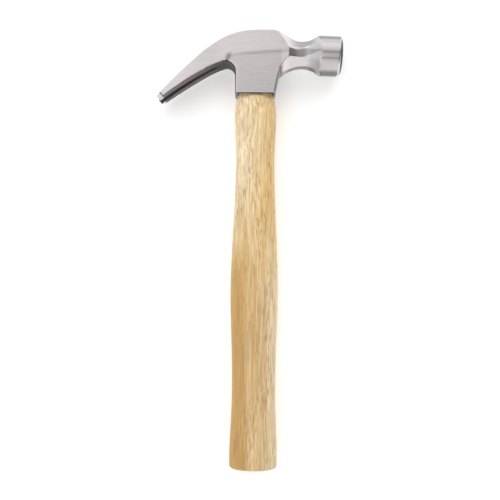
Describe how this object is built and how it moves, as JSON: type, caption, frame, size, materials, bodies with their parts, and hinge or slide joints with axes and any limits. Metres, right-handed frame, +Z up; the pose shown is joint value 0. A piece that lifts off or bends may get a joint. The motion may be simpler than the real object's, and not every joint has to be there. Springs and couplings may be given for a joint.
{
  "type": "claw hammer",
  "caption": "Carpenter's claw hammer with a forged steel head, curved split claw, round crowned poll and an oval wooden handle wedged through the eye.",
  "frame": {"origin": "bottom centre of the bounding box of the hammer lying on its side", "axes": "+X across the handle towards the poll, +Y along the handle towards the top of the head, +Z up, square to the cheeks"},
  "size_m": [0.1384, 0.3242, 0.0304],
  "materials": {
    "head_steel": "ground to a fine satin, the hollow under the claw left dark from the forge",
    "handle_wood": "clear satin varnish on straight-grained pale hardwood",
    "wedge_wood": "end grain, cut level",
    "wedge_steel": "dull, ground level with the top of the head"
  },
  "bodies": {
    "root": {"head": "head_steel", "handle": "handle_wood", "wood_wedge": "wedge_wood", "steel_wedge_claw": "wedge_steel", "steel_wedge_poll": "wedge_steel"}
  },
  "joints": []
}
